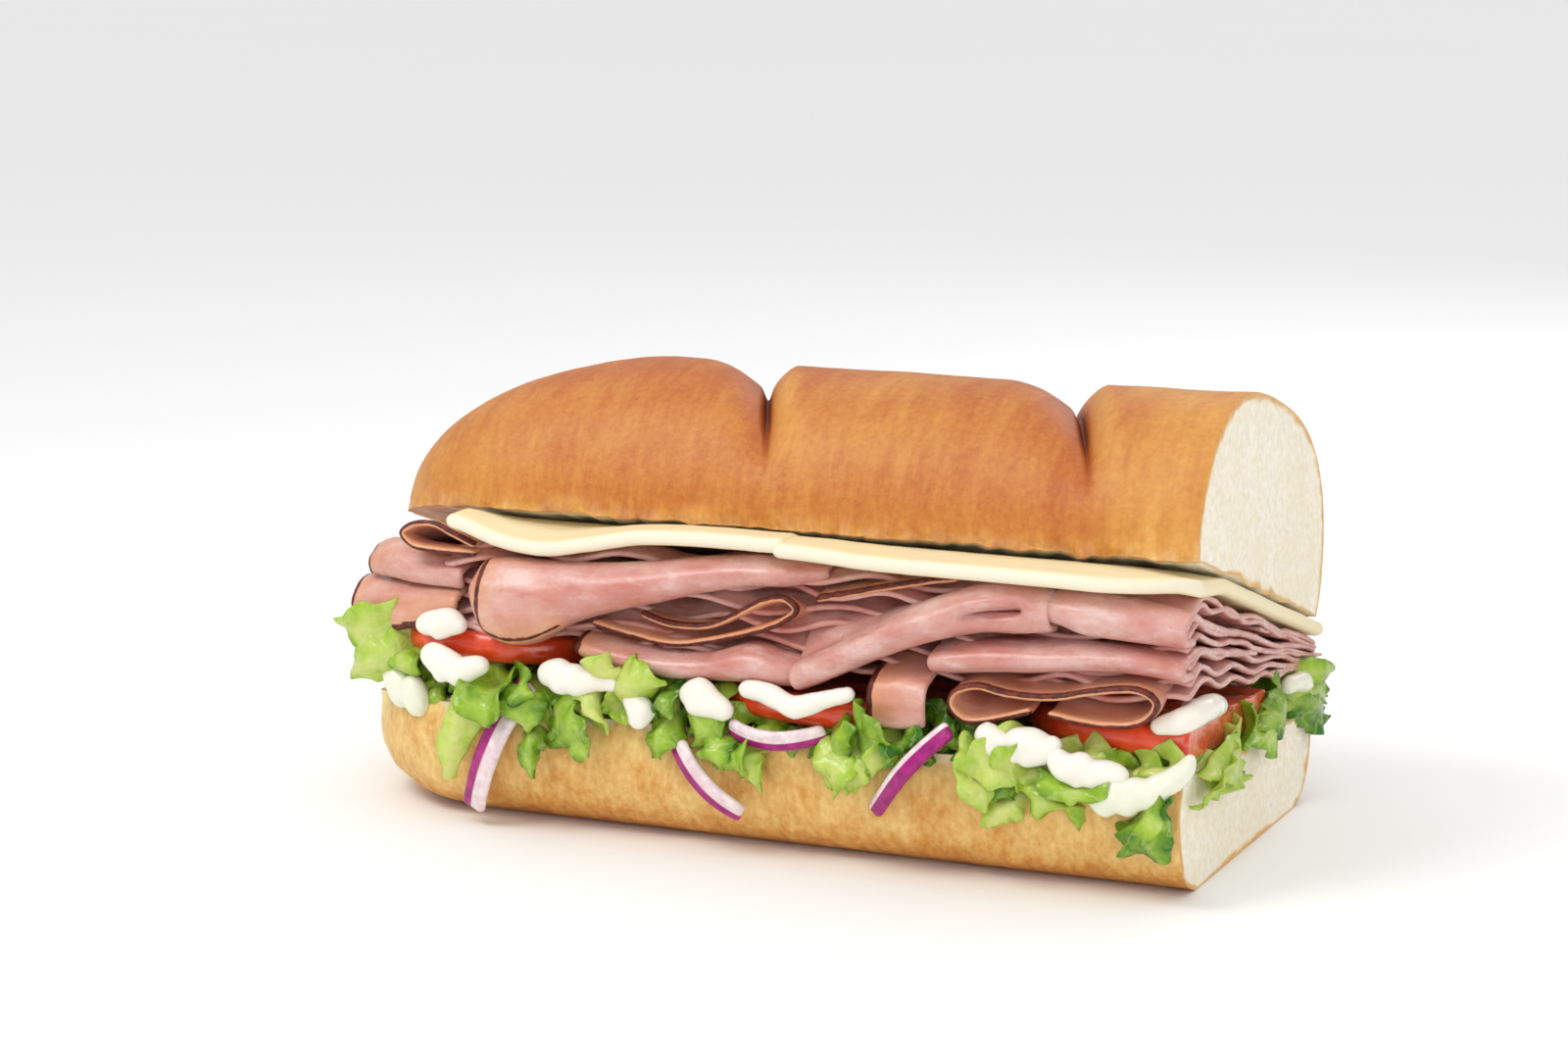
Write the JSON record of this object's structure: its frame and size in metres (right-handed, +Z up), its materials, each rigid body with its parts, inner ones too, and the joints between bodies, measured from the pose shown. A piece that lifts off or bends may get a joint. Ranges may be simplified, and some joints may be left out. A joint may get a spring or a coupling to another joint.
{
  "type": "submarine sandwich",
  "caption": "Half submarine sandwich: a slashed, golden loaf split lengthwise and cut at one end, filled with lettuce, onion, mayonnaise, tomato, folded ham and cheese.",
  "frame": {"origin": "on the flat resting face under the lower half of the loaf, midway along the loaf", "axes": "+X along the loaf towards the cut end, +Z up, -Y towards the open front"},
  "size_m": [0.1618, 0.0883, 0.0763],
  "materials": {
    "bread": "baked golden crust with pale crumb on the split and cut faces",
    "cheese": "soft pale yellow cheese",
    "ham": "moist pink ham with a browned rind",
    "tomato": "moist red flesh and glossy skin",
    "onion": "glossy purple skin over whitish flesh",
    "mayonnaise": "thick glossy off-white sauce",
    "lettuce": "fresh green shreds, paler at the ribs"
  },
  "bodies": {
    "root": {"bread_bottom": "bread", "bread_top": "bread", "cheese_left": "cheese", "cheese_right": "cheese", "ham_back_lower": "ham", "ham_back_middle": "ham", "ham_back_upper": "ham", "ham_flap": "ham", "ham_front_roll": "ham", "ham_left_curl": "ham", "ham_left_flap": "ham", "ham_left_tongue": "ham", "ham_middle_curl": "ham", "ham_middle_face": "ham", "ham_middle_roll": "ham", "ham_right_curl": "ham", "ham_right_face": "ham", "ham_right_roll": "ham", "ham_top_slice": "ham", "lettuce": "lettuce", "mayo_centre": "mayonnaise", "mayo_centre_left": "mayonnaise", "mayo_corner": "mayonnaise", "mayo_cut": "mayonnaise", "mayo_drop": "mayonnaise", "mayo_far_left": "mayonnaise", "mayo_left": "mayonnaise", "mayo_right": "mayonnaise", "mayo_right_low": "mayonnaise", "mayo_tomato_left": "mayonnaise", "mayo_tomato_middle": "mayonnaise", "onion_arc": "onion", "onion_left": "onion", "onion_middle": "onion", "onion_right": "onion", "tomato_back_left": "tomato", "tomato_back_right": "tomato", "tomato_left": "tomato", "tomato_middle": "tomato", "tomato_right": "tomato"}
  },
  "joints": []
}
